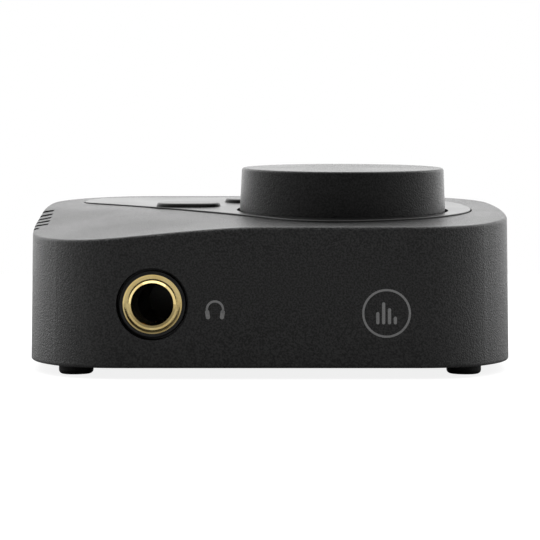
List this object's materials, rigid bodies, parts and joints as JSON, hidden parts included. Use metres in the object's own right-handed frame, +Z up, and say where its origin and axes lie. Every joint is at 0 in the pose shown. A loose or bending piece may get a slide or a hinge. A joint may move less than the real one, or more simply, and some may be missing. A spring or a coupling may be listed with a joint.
{
  "type": "audio interface",
  "caption": "Low desktop audio interface with a large volume knob, round-cornered case, sloping top, front headphone socket and rear line and computer sockets.",
  "frame": {"origin": "on the table, under the centre of the case", "axes": "+Z up, -Y out of the front face with the headphone socket, +X to the right seen from the front"},
  "size_m": [0.087, 0.0697, 0.0376],
  "materials": {
    "case_plastic": "fine moulded texture, near black",
    "panel_plastic": "satin, near black",
    "knob_plastic": "soft satin, near black",
    "button_plastic": "satin, black",
    "foot_rubber": "matt",
    "screw_steel": "blackened",
    "board_laminate": "green solder mask",
    "gilt": "polished gilt",
    "contact_metal": "plated spring strip",
    "jack_plastic": "black moulded",
    "usb_steel": "bright plated",
    "part_plastic": "black moulded",
    "plated_brass": "nickel plated",
    "can_aluminium": "satin",
    "clear_plastic": "clear",
    "flex_film": "amber film"
  },
  "bodies": {
    "chassis": {"amplifier_chip": "part_plastic", "base_plate": "case_plastic", "base_screws": "screw_steel", "capacitors": "can_aluminium", "codec_chip": "part_plastic", "control_board": "board_laminate", "control_board_screws": "screw_steel", "control_flex_socket": "part_plastic", "controller_chip": "part_plastic", "crystal_can": "usb_steel", "encoder_body": "usb_steel", "encoder_bushing": "plated_brass", "encoder_nut": "plated_brass", "encoder_washer": "plated_brass", "flex_cable": "flex_film", "foot_front_left": "foot_rubber", "foot_front_right": "foot_rubber", "foot_rear_left": "foot_rubber", "foot_rear_right": "foot_rubber", "front_switch": "part_plastic", "headphone_jack_body": "jack_plastic", "headphone_jack_contacts": "contact_metal", "headphone_jack_ferrule": "gilt", "indicator_leds": "clear_plastic", "inductor": "part_plastic", "input_jack_body": "jack_plastic", "input_jack_contacts": "contact_metal", "input_jack_ferrule": "gilt", "left_output_jack_body": "jack_plastic", "left_output_jack_contacts": "contact_metal", "left_output_jack_ferrule": "gilt", "light_pipes": "clear_plastic", "main_board": "board_laminate", "main_board_screws": "screw_steel", "main_flex_socket": "part_plastic", "rear_switch": "part_plastic", "right_output_jack_body": "jack_plastic", "right_output_jack_contacts": "contact_metal", "right_output_jack_ferrule": "gilt", "top_panel": "panel_plastic", "top_shell": "case_plastic", "usb_shell": "usb_steel", "usb_tongue": "part_plastic"},
    "knob": {"volume_knob": "knob_plastic", "encoder_shaft": "plated_brass"},
    "front_key": {"front_button": "button_plastic", "front_plunger": "part_plastic"},
    "rear_key": {"rear_button": "button_plastic", "rear_plunger": "part_plastic"}
  },
  "joints": [
    {"name": "knob_turn", "type": "hinge", "parent": "chassis", "child": "knob", "pos_m": [0.013, -0.00435, 0.02777], "axis": [0, -0.1289, 0.9917], "continuous": true},
    {"name": "front_press", "type": "slide", "parent": "chassis", "child": "front_key", "axis": [0, 0.1289, -0.9917], "range_m": [0, 0.0003], "stiffness_N_per_m": 4000, "springref_m": -0.0001},
    {"name": "rear_press", "type": "slide", "parent": "chassis", "child": "rear_key", "axis": [0, 0.1289, -0.9917], "range_m": [0, 0.0003], "stiffness_N_per_m": 4000, "springref_m": -0.0001}
  ]
}
